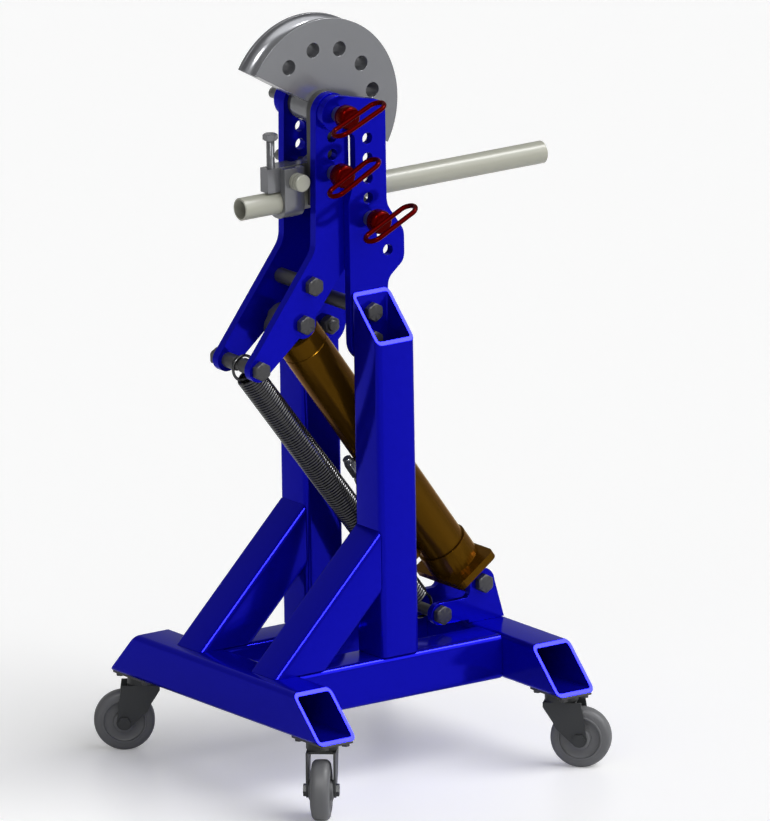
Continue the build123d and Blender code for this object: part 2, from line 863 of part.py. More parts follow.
with BuildPart() as return_spring:
    with BuildSketch(across(spring_anchor, spring_up, coil_start)):
        Circle(hook_top_radius)
        Circle(coil_bore_radius, mode=Mode.SUBTRACT)
    extrude(amount=coil_length)
save(return_spring.part, "return_spring")
save(spring_hook(hook_shift), "spring_lower_hook")
save(spring_hook(spring_reach - hook_shift), "spring_upper_hook")


# Casters

def caster_place(hand_x, hand_y):
    """Swivel axis of a caster, in plan."""
    return (hand_x * beam_x, hand_y * (beam_length / 2 - caster_inset))


caster_places = [caster_place(hand_x, hand_y) for hand_x, hand_y, heading in caster_headings.values()]
plate_low = caster_height - caster_plate[2]

with BuildPart() as caster_plates:
    with BuildSketch(Plane.XY.offset(plate_low)):
        with Locations(*caster_places):
            Rectangle(caster_plate[0], caster_plate[1])
    extrude(amount=caster_plate[2])
save(caster_plates.part, "caster_plates")

with BuildPart() as caster_bolts:
    with BuildSketch(Plane.XY.offset(plate_low)):
        with Locations(*caster_places):
            with GridLocations(caster_bolt_spacing[0], caster_bolt_spacing[1], 2, 2):
                RegularPolygon(caster_bolt_flats / 2, 6, major_radius=False)
    extrude(amount=-caster_bolt_head)
save(caster_bolts.part, "caster_bolts")


def caster_planes(hand_x, hand_y, heading):
    """Plan plane at the swivel axis with X along the trail, and the wheel's own plane at its axle."""
    x, y = caster_place(hand_x, hand_y)
    trail_dir = Vector(cos(radians(heading)), sin(radians(heading)), 0)
    plan = Plane(origin=(x, y, 0), x_dir=trail_dir, z_dir=(0, 0, 1))
    centre = Vector(x, y, wheel_diameter / 2) + trail_dir * caster_trail
    wheel = Plane(origin=centre, x_dir=trail_dir, z_dir=(trail_dir.Y, -trail_dir.X, 0))
    return plan, wheel


def caster_fork(plan, wheel):
    """Swivel disc, crown and two legs pressed from sheet, with the axle bolt through both legs."""
    swivel_top = plate_low - face_gap
    crown_top = swivel_top - swivel_height
    leg_inner = wheel_hub_width / 2 + face_gap
    leg_outer = leg_inner + fork_sheet
    crown_rise = crown_top - wheel_diameter / 2
    with BuildPart() as fork:
        with BuildSketch(plan.offset(crown_top)):
            Circle(swivel_diameter / 2)
        extrude(amount=swivel_height)
        with BuildSketch(plan.offset(crown_top - fork_sheet)):
            Rectangle(fork_crown, 2 * leg_outer)
        extrude(amount=fork_sheet)
        for hand in (-1, 1):
            face = leg_outer if hand > 0 else -leg_inner
            with BuildSketch(wheel.offset(face - fork_sheet)):
                with BuildLine():
                    Polyline(
                        (-caster_trail - fork_crown / 2, crown_rise),
                        (fork_crown / 2 - caster_trail + fork_front_lap, crown_rise),
                        (fork_boss_radius, 0),
                        (fork_heel[0] * fork_boss_radius, fork_heel[1] * fork_boss_radius),
                        (-caster_trail - fork_back_low[0], fork_back_low[1] * crown_rise),
                        (-caster_trail - fork_back_high[0], fork_back_high[1] * crown_rise),
                        (-caster_trail - fork_crown / 2, crown_rise - 2 * fork_sheet),
                        close=True,
                    )
                make_face()
                Circle(fork_boss_radius)
                Circle(axle_diameter / 2 + bolt_gap, mode=Mode.SUBTRACT)
            extrude(amount=fork_sheet)
        with BuildSketch(wheel.offset(-leg_outer)):
            Circle(axle_diameter / 2)
        extrude(amount=2 * leg_outer)
        for face, direction in ((leg_outer, 1), (-leg_outer, -1)):
            with BuildSketch(wheel.offset(face)):
                RegularPolygon(axle_head_flats / 2, 6, major_radius=False)
            extrude(amount=direction * axle_head)
    return fork.part


def caster_wheel(wheel):
    """Wheel with a rounded tread, dished sides and a hub."""
    with BuildPart() as disc:
        with BuildSketch(wheel):
            Circle(wheel_diameter / 2)
        extrude(amount=wheel_width / 2, both=True)
        chamfer(disc.edges().filter_by(GeomType.CIRCLE), tread_bevel)
        for face, direction in ((wheel_width / 2, -1), (-wheel_width / 2, 1)):
            with BuildSketch(wheel.offset(face)):
                Circle(wheel_diameter / 2 - wheel_rim)
            extrude(amount=direction * wheel_dish, mode=Mode.SUBTRACT)
        with BuildSketch(wheel):
            Circle(wheel_hub_diameter / 2)
        extrude(amount=wheel_hub_width / 2, both=True)
        with BuildSketch(wheel):
            Circle(axle_diameter / 2 + axle_gap)
        extrude(amount=wheel_hub_width, both=True, mode=Mode.SUBTRACT)
    return disc.part


for corner, (hand_x, hand_y, heading) in caster_headings.items():
    plan_plane, wheel_plane = caster_planes(hand_x, hand_y, heading)
    save(caster_fork(plan_plane, wheel_plane), f"{corner}_caster_fork")
    save(caster_wheel(wheel_plane), f"{corner}_caster_wheel")
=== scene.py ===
"""Floor-standing pipe bender: the finished look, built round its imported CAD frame."""

import json
from math import cos, pi, radians, sin, sqrt, tau

import bmesh
import bpy
import numpy as np
from bpy.props import FloatProperty, FloatVectorProperty, IntProperty, PointerProperty
from mathutils import Matrix, Vector


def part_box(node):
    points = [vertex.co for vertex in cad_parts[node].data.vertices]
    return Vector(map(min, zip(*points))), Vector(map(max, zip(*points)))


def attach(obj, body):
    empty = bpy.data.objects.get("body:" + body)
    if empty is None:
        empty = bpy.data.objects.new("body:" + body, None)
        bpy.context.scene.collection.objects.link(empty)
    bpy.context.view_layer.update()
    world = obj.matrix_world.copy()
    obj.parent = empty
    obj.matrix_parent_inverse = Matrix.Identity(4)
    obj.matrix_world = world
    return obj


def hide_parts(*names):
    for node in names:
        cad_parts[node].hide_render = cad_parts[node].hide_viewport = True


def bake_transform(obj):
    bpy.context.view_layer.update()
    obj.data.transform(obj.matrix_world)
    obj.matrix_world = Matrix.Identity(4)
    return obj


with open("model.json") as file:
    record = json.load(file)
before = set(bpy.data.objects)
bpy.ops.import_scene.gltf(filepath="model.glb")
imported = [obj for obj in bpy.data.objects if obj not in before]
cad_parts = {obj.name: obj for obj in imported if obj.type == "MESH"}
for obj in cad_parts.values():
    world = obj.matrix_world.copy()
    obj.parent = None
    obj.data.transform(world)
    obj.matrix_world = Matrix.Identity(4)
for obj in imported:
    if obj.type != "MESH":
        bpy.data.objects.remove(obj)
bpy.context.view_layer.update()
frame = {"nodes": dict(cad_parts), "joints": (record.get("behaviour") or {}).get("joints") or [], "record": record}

bl_info = {
    "name": "Pipe Bender",
    "version": (1, 0, 0),
    "blender": (4, 5, 0),
    "location": "View3D > Sidebar > Bender",
    "description": "Dresses the packed pipe bender in steel, paint and a wound spring",
    "category": "Add Mesh",
}

BOLT_RADIUS = 0.009525
SEAT_GAP = 0.0003
# Share of the plates' edge break that smaller pieces have
FINE_EDGE = 0.7
# Points of the photograph from top to bottom
PICTURE_HEIGHT = 821
# Sockets of a colour mix: its two colours and its result
MIX_FIRST, MIX_SECOND, MIX_RESULT = 6, 7, 2
JOINTS = {joint["name"]: joint for joint in frame["joints"]}
NODE_SLOT = {part["node"]: part["material_slot"] for part in frame["record"]["subparts"]}
NODE_BODY = {
    node: body
    for body, nodes in frame["record"]["behaviour"]["bodies"].items()
    for node in nodes
}
CORNERS = ("near_left", "near_right", "far_left", "far_right")
# Each pull pin, with the lean of its loop in degrees
PINS = {"die_pin": 23.0, "drive_pin": 27.0, "follower_pin": 25.5}
CROSS_BOLTS = (
    "plate_through_bolt",
    "arm_spacer_bolt",
    "ram_pivot_bolt",
    "tail_rod",
    "jack_pivot_bolt",
    "spring_anchor_bolt",
)
PAINTED_PLATES = (
    "near_fixed_plate",
    "far_fixed_plate",
    "near_swing_arm",
    "far_swing_arm",
    "near_jack_cheek",
    "far_jack_cheek",
)
SWING_ARMS = ("near_swing_arm", "far_swing_arm")
MACHINED_PIECES = (
    "drive_link",
    "plate_spacer",
    "arm_spacer",
    "tail_spacers",
    "follower_spacers",
    "die_bush",
    "bending_die",
    "clamp_hook",
    "clamp_strap",
    "jack_base",
    "caster_plates",
    "caster_bolts",
)


def colour(name, description, default):
    """One colour of the add-on's settings."""
    return FloatVectorProperty(
        name=name, description=description, default=default, subtype="COLOR", size=3, min=0.0, max=1.0
    )


def length(name, description, default):
    """One length of the add-on's settings, in metres."""
    return FloatProperty(
        name=name, description=description, default=default, min=0.0, unit="LENGTH", precision=4
    )


def level(name, description, default, most=10.0):
    """One strength of the add-on's settings."""
    return FloatProperty(name=name, description=description, default=default, min=0.0, max=most)


class BenderFinishes(bpy.types.PropertyGroup):
    """Colours of the paint and metals"""

    blue_paint: colour("Blue paint", "Stand, plates and arms", (0.0035, 0.0035, 0.37))
    die_grey: colour("Die grey", "Bending die and pipe clamp", (0.19, 0.193, 0.205))
    ivory_steel: colour("Ivory", "Pipe and clamp pin", (0.37, 0.37, 0.31))
    red_paint: colour("Red paint", "Pull handles", (0.064, 0.0002, 0.0002))
    bronze_paint: colour("Bronze", "Jack body", (0.080, 0.036, 0.0018))
    dark_steel: colour("Dark steel", "Bolts, spacers and rollers", (0.060, 0.060, 0.062))
    pin_steel: colour("Pin steel", "Pull pins", (0.12, 0.12, 0.122))
    ram_chrome: colour("Ram", "Plated ram of the jack", (0.55, 0.55, 0.56))
    spring_steel: colour("Spring steel", "Wire of the return spring", (0.060, 0.060, 0.062))
    fork_steel: colour("Fork grey", "Caster forks", (0.034, 0.036, 0.038))
    wheel_rubber: colour("Wheel grey", "Caster wheels", (0.110, 0.112, 0.118))


class BenderSizes(bpy.types.PropertyGroup):
    """Sizes of what the solids leave plain"""

    edge_break: length("Edge break", "Width of the broken edge on plates", 0.0009)
    tube_wall: length("Tube wall", "Wall of the square tube", 0.00635)
    tube_corner: length("Tube corner", "Outer corner radius of the square tube", 0.010)
    head_height: length("Head height", "Height of a bolt head", 0.012)
    nut_height: length("Nut height", "Height of a nut", 0.016)
    thread_end: length("Thread end", "Thread that stands out of a nut", 0.005)
    hex_flats: length("Hex flats", "Width over the flats of heads and nuts", 0.028575)
    thread_pitch: length("Thread pitch", "Pitch of the bolts' threads", 0.0025)
    spring_wire: length("Spring wire", "Diameter of the spring's wire", 0.005)
    spring_outer: length("Spring width", "Outer diameter of the coil", 0.047)
    spring_turns: IntProperty(name="Spring turns", description="Turns in the coil", default=104, min=3)
    loop_rod: length("Loop rod", "Rod of the pull handles' loops", 0.0085)
    loop_length: length("Loop length", "Length of a pull loop", 0.112)
    loop_width: length("Loop width", "Width of a pull loop", 0.0405)


class BenderStage(bpy.types.PropertyGroup):
    """Floor, light and camera"""

    floor: colour("Floor", "Pale studio floor", (0.98, 0.98, 0.98))
    ambient: level("Ambient", "Strength of the even light", 0.27)
    key: level("Key", "Strength of the main light", 2.6)
    fill: level("Fill", "Strength of the side light", 0.45)
    glint: level("Glint", "Strength of the lights that only gloss shows", 2.2)
    sky_gloss: level("Sky gloss", "How white gloss shows the sky", 0.5, 1.0)
    floor_glow: level("Floor glow", "White that the camera alone sees", 0.175)
    distance: length("Distance", "From the camera to the bender", 50.0)
    pixel: FloatProperty(name="Scale", description="Picture points to a metre", default=603.7, min=1.0)


# Surfaces as whole arrays

def unit(vector):
    """The vector, or each vector of an array, at length 1."""
    vector = np.asarray(vector, float)
    return vector / np.linalg.norm(vector, axis=-1, keepdims=True)


def round_axis(axis):
    """Two unit vectors square to an axis and to each other, and the axis itself at length 1."""
    axis = unit(axis)
    helper = np.eye(3)[np.argmin(np.abs(axis))]
    first = unit(np.cross(helper, axis))
    return first, np.cross(axis, first), axis


def grid_faces(rows, cols, wrap_rows, wrap_cols):
    """Quads between neighbouring points of a grid, joined end to end where it wraps."""
    row = np.arange(rows if wrap_rows else rows - 1)[:, None]
    col = np.arange(cols if wrap_cols else cols - 1)[None, :]
    next_row = (row + 1) % rows
    next_col = (col + 1) % cols
    corners = (row * cols + col, row * cols + next_col, next_row * cols + next_col, next_row * cols + col)
    return np.stack(np.broadcast_arrays(*corners), axis=-1).reshape(-1, 4)


def lathe(profile, origin, axis, steps=72):
    """Turned surface: every (along, radius) pair of the profile is carried once round the axis."""
    profile = np.asarray(profile, float)
    turn = np.linspace(0.0, tau, steps, endpoint=False)
    first, second, axis = round_axis(axis)
    ring = np.cos(turn)[:, None] * first + np.sin(turn)[:, None] * second
    along = profile[:, 0, None, None] * axis
    return np.asarray(origin) + along + profile[:, 1, None, None] * ring[None], False, True


def hexagon(profile, origin, axis, flats, steps=96):
    """Six-sided bar cut by turned chamfers: the radius is the lesser of the hexagon's and the profile's."""
    profile = np.asarray(profile, float)
    turn = np.linspace(0.0, tau, steps, endpoint=False)
    sector = np.mod(turn, tau / 6) - tau / 12
    outline = flats / 2 / np.cos(sector)
    radius = np.minimum(profile[:, 1, None], outline[None])
    first, second, axis = round_axis(axis)
    ring = np.cos(turn)[:, None] * first + np.sin(turn)[:, None] * second
    along = profile[:, 0, None, None] * axis
    return np.asarray(origin) + along + radius[..., None] * ring[None], False, True


def thread(origin, axis, span, radius, pitch, depth, steps=36, start=0.0):
    """Screw surface: the radius falls and rises once a pitch, later by one pitch for each full turn."""
    rows_per_pitch, fewest_rows = 8, 4
    rows = max(int(span / pitch * rows_per_pitch), fewest_rows)
    along = np.linspace(0.0, span, rows)
    turn = np.linspace(0.0, tau, steps, endpoint=False)
    phase = tau * along[:, None] / pitch - turn[None]
    taper = np.clip(np.minimum(along, span - along) / pitch, 0.0, 1.0)[:, None]
    depths = radius - depth * (0.5 - 0.5 * np.cos(phase)) - depth * (1.0 - taper)
    first, second, axis = round_axis(axis)
    ring = np.cos(turn)[:, None] * first + np.sin(turn)[:, None] * second
    points = np.asarray(origin) + (start + along)[:, None, None] * axis + depths[..., None] * ring[None]
    centre = np.asarray(origin) + start * axis
    low = np.broadcast_to(centre, (1, steps, 3))
    high = np.broadcast_to(centre + span * axis, (1, steps, 3))
    return np.concatenate((low, points, high)), False, True


def sweep(path, across, radius, sides=14, closed=False):
    """Round rod along a path: a ring in the plane of the across direction and of its cross with the path."""
    path = np.asarray(path, float)
    if closed:
        ahead = np.roll(path, -1, axis=0) - np.roll(path, 1, axis=0)
    else:
        ahead = np.gradient(path, axis=0)
    ahead = unit(ahead)
    across = np.broadcast_to(np.asarray(across, float), path.shape)
    first = unit(across - ahead * np.sum(across * ahead, axis=1, keepdims=True))
    second = np.cross(ahead, first)
    turn = np.linspace(0.0, tau, sides, endpoint=False)
    ring = np.cos(turn)[:, None, None] * first + np.sin(turn)[:, None, None] * second
    tube = path[:, None] + radius * np.transpose(ring, (1, 0, 2))
    if not closed:
        ends = [np.broadcast_to(path[end], (1, sides, 3)) for end in (0, -1)]
        tube = np.concatenate((ends[0], tube, ends[1]))
    return tube, closed, True


def rounded_square(side, corner, steps=7):
    """Section of a square tube, as points round its outline: a quarter circle about each corner's centre."""
    quarter = np.linspace(0.0, pi / 2, steps)
    turn = (np.arange(4)[:, None] * pi / 2 + quarter[None]).ravel()
    heading = np.repeat(np.arange(4) * pi / 2 + pi / 4, steps)
    reach = (side / 2 - corner) * sqrt(2)
    centre = reach * np.stack((np.cos(heading), np.sin(heading)), axis=1)
    return centre + corner * np.stack((np.cos(turn), np.sin(turn)), axis=1)


def square_tube(middle, axis, across, side, wall, corner, ends):
    """Hollow square tube along an axis, cut at each end by a plane given as a point and a normal.

    Every point of the outer and inner sections is carried along the axis until it meets the plane.
    """
    axis = unit(axis)
    across = unit(across)
    beside = np.cross(axis, across)
    rings = []
    for section, order in (
        (rounded_square(side, corner), (0, 1)),
        (rounded_square(side - 2 * wall, corner - wall), (1, 0)),
    ):
        lines = np.asarray(middle) + section[:, :1] * across + section[:, 1:] * beside
        for end in order:
            point, normal = (np.asarray(value, float) for value in ends[end])
            reach = ((point - lines) @ normal) / (axis @ normal)
            rings.append(lines + reach[:, None] * axis)
    return np.stack(rings), True, True


def smooth(mesh, angle=32.0):
    """Smooth shading that keeps edges sharper than the angle."""
    mesh.polygons.foreach_set("use_smooth", np.ones(len(mesh.polygons), bool))
    mesh.set_sharp_from_angle(angle=radians(angle))


def new_piece(name, *surfaces):
    """One object from grids of points, with its poles closed and its faces turned outwards."""
    points = []
    quads = []
    count = 0
    for grid, wrap_rows, wrap_cols in surfaces:
        rows, cols = grid.shape[:2]
        points.append(grid.reshape(-1, 3))
        quads.append(count + grid_faces(rows, cols, wrap_rows, wrap_cols))
        count += rows * cols
    mesh = bpy.data.meshes.new(name)
    mesh.from_pydata(np.concatenate(points).tolist(), [], np.concatenate(quads).tolist())
    return settle(name, mesh)


def settle(name, mesh, dissolve=False):
    """Merges doubled points, drops flat seams if asked, turns faces outwards and links the object."""
    same_point, no_length, flat_angle = 2e-6, 1e-7, radians(0.5)
    work = bmesh.new()
    work.from_mesh(mesh)
    bmesh.ops.remove_doubles(work, verts=work.verts, dist=same_point)
    bmesh.ops.dissolve_degenerate(work, edges=work.edges, dist=no_length)
    if dissolve:
        bmesh.ops.dissolve_limit(work, angle_limit=flat_angle, verts=work.verts, edges=work.edges)
    bmesh.ops.recalc_face_normals(work, faces=work.faces)
    work.to_mesh(mesh)
    work.free()
    smooth(mesh)
    piece = bpy.data.objects.new(name, mesh)
    bpy.context.scene.collection.objects.link(piece)
    return piece


def break_edges(piece, width, segments=2, angle=33.0):
    """Rounds the piece's edges that are sharper than the angle."""
    bevel = piece.modifiers.new("edge_break", "BEVEL")
    bevel.width = width
    bevel.segments = segments
    bevel.limit_method = "ANGLE"
    bevel.angle_limit = radians(angle)
    bevel.harden_normals = True
    return piece


def from_node(node, width):
    """Copy of a CAD node with its triangles merged into whole faces and its edges broken."""
    piece = settle(f"{node}_finished", frame["nodes"][node].data.copy(), dissolve=True)
    return break_edges(piece, width)


def points_of(piece):
    """Corner points of a piece, one row each."""
    spots = np.empty(3 * len(piece.data.vertices), dtype=np.float32)
    piece.data.vertices.foreach_get("co", spots)
    return spots.reshape(-1, 3).astype(float)


def move_points(piece, spots):
    """Gives a piece's corners new places."""
    piece.data.vertices.foreach_set("co", spots.astype(np.float32).ravel())
    piece.data.update()
    return piece


def stand_for(piece, *nodes):
    """Puts a piece in the place of CAD nodes: it takes over their slot and its finish."""
    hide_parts(*nodes)
    slot = NODE_SLOT[nodes[0]]
    piece.data.materials.clear()
    piece.data.materials.append(finish(slot))
    return piece


def mount(piece, *nodes):
    """Puts a piece in the place of CAD nodes, on their body."""
    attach(piece, NODE_BODY[nodes[0]])
    return stand_for(piece, *nodes)


def middle_of(node):
    """Middle of a CAD node's box."""
    low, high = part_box(node)
    return np.array((low + high) / 2)


def node_tools(name):
    """A new material's tree, with a function that adds a node and one that links two sockets."""
    material = bpy.data.materials.new(name)
    material.use_nodes = True
    tree = material.node_tree
    tree.nodes.clear()

    def add(kind, **values):
        node = tree.nodes.new(kind)
        for key, value in values.items():
            if key in node.inputs:
                node.inputs[key].default_value = value
            else:
                setattr(node, key, value)
        return node

    return material, add, tree.links.new


def surface_finish(
    name, base, *, shift=0.12, metal=0.0, rough=(0.3, 0.4), shine=0.5, edge=(1.0, 1.0, 1.0),
    mottle=9.0, grain=700.0, stretch=(1.0, 1.0, 1.0), bump=0.02, centre=(0.0, 0.0, 0.0), rings=0.0,
):
    """Finish whose colour drifts slowly over the piece, with fine grain in its gloss and height.

    Rings, where given, are turning marks round a Y axis through the centre.
    """
    material, add, link = node_tools(name)
    place = add("ShaderNodeTexCoord")
    mapping = add("ShaderNodeMapping", Scale=stretch)
    mapping.inputs["Location"].default_value = [-c * s for c, s in zip(centre, stretch)]
    link(place.outputs["Object"], mapping.inputs["Vector"])
    drift = add("ShaderNodeTexNoise", Scale=mottle, Detail=4.0, Roughness=0.55)
    link(mapping.outputs["Vector"], drift.inputs["Vector"])
    tint = add("ShaderNodeMix", data_type="RGBA")
    tint.inputs[MIX_FIRST].default_value = (*[c * (1.0 - shift) for c in base], 1.0)
    tint.inputs[MIX_SECOND].default_value = (*[min(c * (1.0 + shift), 1.0) for c in base], 1.0)
    link(drift.outputs["Fac"], tint.inputs[0])
    fine = add("ShaderNodeTexNoise", Scale=grain, Detail=3.0, Roughness=0.6)
    link(mapping.outputs["Vector"], fine.inputs["Vector"])
    height = fine.outputs["Fac"]
    if rings:
        marks = add("ShaderNodeTexWave", wave_type="RINGS", rings_direction="Y", Scale=rings, Distortion=0.6)
        marks.inputs["Detail"].default_value = 2.0
        link(mapping.outputs["Vector"], marks.inputs["Vector"])
        both = add("ShaderNodeMath", operation="ADD")
        link(marks.outputs["Fac"], both.inputs[0])
        link(height, both.inputs[1])
        height = both.outputs["Value"]
    gloss = add("ShaderNodeMapRange")
    gloss.inputs["To Min"].default_value = rough[0]
    gloss.inputs["To Max"].default_value = rough[1]
    link(drift.outputs["Fac"], gloss.inputs["Value"])
    relief = add("ShaderNodeBump", Strength=bump, Distance=0.0004)
    link(height, relief.inputs["Height"])
    shader = add("ShaderNodeBsdfPrincipled", Metallic=metal)
    shader.inputs["Specular IOR Level"].default_value = shine
    shader.inputs["Specular Tint"].default_value = (*edge, 1.0)
    link(tint.outputs[MIX_RESULT], shader.inputs["Base Color"])
    link(gloss.outputs["Result"], shader.inputs["Roughness"])
    link(relief.outputs["Normal"], shader.inputs["Normal"])
    output = add("ShaderNodeOutputMaterial")
    link(shader.outputs["BSDF"], output.inputs["Surface"])
    return material


# How each finish departs from plain paint: drift of its colour, gloss, grain and height
LOOKS = {
    "blue_paint": dict(
        shift=0.04, metal=0.5, rough=(0.10, 0.16), shine=0.08, edge=(0.45, 0.45, 0.85),
        mottle=5.0, grain=420.0, bump=0.02,
    ),
    "die_grey": dict(
        shift=0.05, metal=0.5, rough=(0.18, 0.26), mottle=14.0, grain=900.0, bump=0.04, rings=170.0,
    ),
    "ivory_steel": dict(
        shift=0.05, rough=(0.30, 0.42), shine=0.4, mottle=22.0, grain=600.0,
        stretch=(0.06, 1.0, 1.0), bump=0.06,
    ),
    "red_paint": dict(
        shift=0.06, metal=0.4, rough=(0.14, 0.22), shine=0.08, edge=(0.7, 0.12, 0.06),
        mottle=20.0, grain=600.0, bump=0.03,
    ),
    "bronze_paint": dict(
        shift=0.08, metal=0.6, rough=(0.16, 0.26), shine=0.12, edge=(1.0, 0.65, 0.2),
        mottle=8.0, grain=500.0, bump=0.03,
    ),
    "dark_steel": dict(
        shift=0.12, metal=0.5, rough=(0.34, 0.5), shine=0.3, mottle=30.0, grain=900.0, bump=0.08,
    ),
    "pin_steel": dict(shift=0.08, metal=0.8, rough=(0.26, 0.38), mottle=25.0, grain=800.0, bump=0.05),
    "ram_chrome": dict(shift=0.03, metal=1.0, rough=(0.08, 0.16), mottle=18.0, grain=900.0, bump=0.02),
    "spring_steel": dict(shift=0.15, metal=0.8, rough=(0.16, 0.28), mottle=40.0, grain=900.0, bump=0.06),
    "fork_steel": dict(
        shift=0.10, metal=0.2, rough=(0.34, 0.46), shine=0.3, mottle=20.0, grain=600.0, bump=0.08,
    ),
    "wheel_rubber": dict(
        shift=0.07, rough=(0.45, 0.58), shine=0.35, mottle=30.0, grain=700.0, bump=0.12,
    ),
}
made_finishes = {}


def finish(slot):
    """The material of one of the record's slots, made at its first use."""
    if slot not in made_finishes:
        base = getattr(bpy.context.scene.bender_finishes, slot)
        look = dict(LOOKS[slot])
        if slot == "die_grey":
            look["centre"] = JOINTS["die_turn"]["pos_m"]
        made_finishes[slot] = surface_finish(slot, tuple(base), **look)
    return made_finishes[slot]


# Pieces

class BENDER_OT_tube_frame(bpy.types.Operator):
    """Welded square tubes of the stand, with their mitred ends"""

    bl_idname = "bender.tube_frame"
    bl_label = "Tube frame"

    def execute(self, context):
        sizes = context.scene.bender_sizes
        wall, corner = sizes.tube_wall, sizes.tube_corner
        low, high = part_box("left_cross_beam")
        side = high.x - low.x
        for node in ("left_cross_beam", "right_cross_beam"):
            low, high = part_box(node)
            middle = (low + high) / 2
            ends = [((middle.x, y, low.z), (0, hand, 1)) for y, hand in ((low.y, -1), (high.y, 1))]
            self.add_tube(node, middle, (0, 1, 0), (0, 0, 1), side, wall, corner, ends)
        beam_top = high.z
        for hand, name in ((-1, "near"), (1, "far")):
            low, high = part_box(f"{name}_rail")
            middle = (low + high) / 2
            ends = [((x, 0, 0), (1, 0, 0)) for x in (low.x, high.x)]
            self.add_tube(f"{name}_rail", middle, (1, 0, 0), (0, 0, 1), side, wall, corner, ends)
            inner_y = middle.y - hand * side / 2
            low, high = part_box(f"{name}_post")
            ends = [((0, 0, beam_top), (0, 0, 1)), ((0, inner_y, high.z), (0, hand, 1))]
            self.add_tube(f"{name}_post", middle, (0, 0, 1), (1, 0, 0), side, wall, corner, ends)
            low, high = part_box(f"{name}_brace")
            foot = (low.x + side / sqrt(2), middle.y, low.z)
            ends = [((0, 0, low.z), (0, 0, 1)), ((high.x, 0, 0), (1, 0, 0))]
            self.add_tube(f"{name}_brace", foot, (1, 0, 1), (0, 1, 0), side, wall, corner, ends)
        return {"FINISHED"}

    def add_tube(self, node, middle, axis, across, side, wall, corner, ends):
        """One tube of the stand in the place of its solid."""
        surface = square_tube(middle, axis, across, side, wall, corner, ends)
        piece = new_piece(f"{node}_tube", surface)
        mount(break_edges(piece, bpy.context.scene.bender_sizes.edge_break), node)


class BENDER_OT_plates(bpy.types.Operator):
    """Fixed plates, swing arms and bracket cheeks with broken edges"""

    bl_idname = "bender.plates"
    bl_label = "Plates and arms"

    def execute(self, context):
        for node in PAINTED_PLATES:
            piece = from_node(node, context.scene.bender_sizes.edge_break)
            if node in SWING_ARMS:
                self.widen(piece)
            mount(piece, node)
        return {"FINISHED"}

    def widen(self, piece):
        """Gives an arm a straight right edge, one head radius from the pivot, down to the slope of its heel.

        Corners of the old edge keep their height and move right. Those of its lowest bend are spread
        along the slope in proportion to their height. Corners round a pin's hole stay.
        """
        edge, hole = 0.0324, 0.0105
        inner, neck_low = 0.005, -0.2
        hole_heights = np.array((0.0, -0.04204, -0.07252, -0.103))
        bend_x, bend_low, bend_high, hip = 0.0017, -0.2930, -0.2765, -0.256
        spots = points_of(piece)
        pivot = np.array(JOINTS["arm_swing"]["pos_m"])
        x = spots[:, 0] - pivot[0]
        z = spots[:, 2] - pivot[2]
        off_holes = np.all(np.hypot(x[:, None], z[:, None] - hole_heights) > hole, axis=1)
        upper = off_holes & (x > inner) & (z > neck_low) & (z < 0.0)
        slack = 0.0005
        bend = (x > bend_x - slack) & (z > bend_low) & (z < bend_high)
        share = np.clip((z[bend] - bend_low) / (bend_high - bend_low - slack), 0.0, 1.0)
        spots[upper, 0] = pivot[0] + edge
        spots[bend, 0] = pivot[0] + bend_x + share * (edge - bend_x)
        spots[bend, 2] = pivot[2] + bend_low + share * (hip - bend_low)
        move_points(piece, spots)


class BENDER_OT_machined(bpy.types.Operator):
    """Drive link, spacers, die, clamp, jack base and caster plates with broken edges"""

    bl_idname = "bender.machined"
    bl_label = "Machined pieces"

    def execute(self, context):
        for node in MACHINED_PIECES:
            mount(from_node(node, context.scene.bender_sizes.edge_break * FINE_EDGE), node)
        return {"FINISHED"}


def hex_crown(flats):
    """Rounded chamfer at a hexagon's free end, as (depth, radius) pairs from its middle outwards."""
    cone = 0.16 * flats
    face = 0.46 * flats
    return [(0.0, 0.0), (0.0, face), (0.3 * cone, face + 0.5 * cone), (0.65 * cone, face + cone)]


def hex_bolt(place, head_y, tip_y, sizes, shank):
    """Surfaces of a bolt along Y: a chamfered head, its shank, a chamfered nut and the thread beyond it."""
    face, overlap, thread_depth = 0.0012, 0.002, 0.0011
    way = 1.0 if tip_y > head_y else -1.0
    axis = (0.0, way, 0.0)
    origin = np.array((place[0], head_y, place[2]))
    total = abs(tip_y - head_y)
    flats = sizes.hex_flats
    crown = hex_crown(flats)
    head = [
        *((-sizes.head_height + depth, radius) for depth, radius in crown),
        (-face, flats),
        (-face, 0.5 * flats),
        (0.0, 0.495 * flats),
        (0.0, 0.0),
    ]
    nut_far = total - sizes.thread_end
    nut_near = nut_far - sizes.nut_height
    nut = [
        (nut_near, 0.0),
        (nut_near, 0.495 * flats),
        (nut_near + face, 0.5 * flats),
        (nut_near + face, flats),
        *((nut_far - depth, radius) for depth, radius in reversed(crown)),
    ]
    rod = [(-overlap, 0.0), (-overlap, shank), (nut_near + overlap, shank), (nut_near + overlap, 0.0)]
    thread_start = nut_far - 2 * overlap
    screw = thread(
        origin, axis, total - thread_start, shank, sizes.thread_pitch, thread_depth, start=thread_start
    )
    return [
        hexagon(head, origin, axis, flats),
        hexagon(nut, origin, axis, flats),
        lathe(rod, origin, axis, steps=40),
        screw,
    ]


